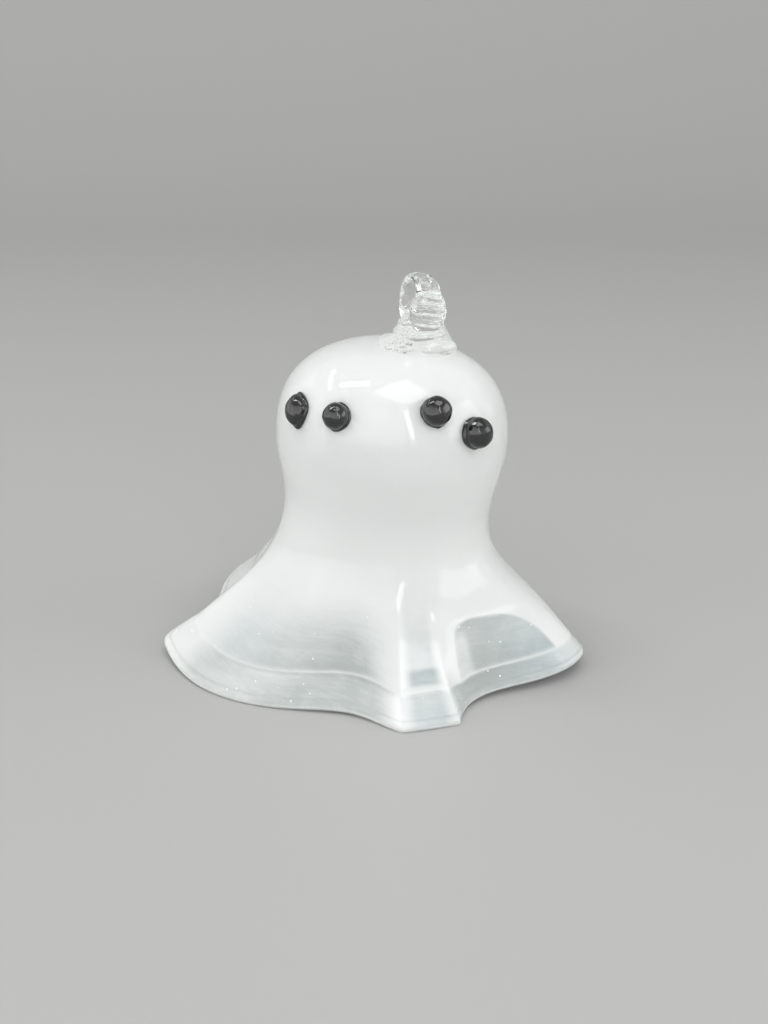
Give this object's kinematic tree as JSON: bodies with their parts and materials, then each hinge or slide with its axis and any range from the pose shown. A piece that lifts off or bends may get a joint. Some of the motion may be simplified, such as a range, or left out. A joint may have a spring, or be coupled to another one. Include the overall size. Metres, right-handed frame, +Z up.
{
  "type": "glass ghost figure",
  "caption": "Hand-blown ghost ornament: open opal glass shell with a flared wavy skirt, black glass eyes and a clear glass hanging loop.",
  "frame": {"origin": "on the surface it stands on, under the middle of the ghost's overall width and depth", "axes": "+Z up, the face looks along -Y, +X towards the right of the picture"},
  "size_m": [0.1252, 0.122, 0.1133],
  "materials": {
    "opal_glass": "glossy white opal glass, thinner and more see-through in the skirt's hollows",
    "clear_glass": "clear glass, fire polished",
    "black_glass": "glossy black glass, fire polished"
  },
  "bodies": {
    "root": {"ghost_body": "opal_glass", "hanger_foot": "clear_glass", "hanger_loop": "clear_glass", "hanger_tail": "clear_glass", "left_outer_eye_pad": "black_glass", "left_outer_eye_drop": "black_glass", "left_inner_eye_pad": "black_glass", "left_inner_eye_drop": "black_glass", "right_inner_eye_pad": "black_glass", "right_inner_eye_drop": "black_glass", "right_outer_eye_pad": "black_glass", "right_outer_eye_drop": "black_glass"}
  },
  "joints": []
}
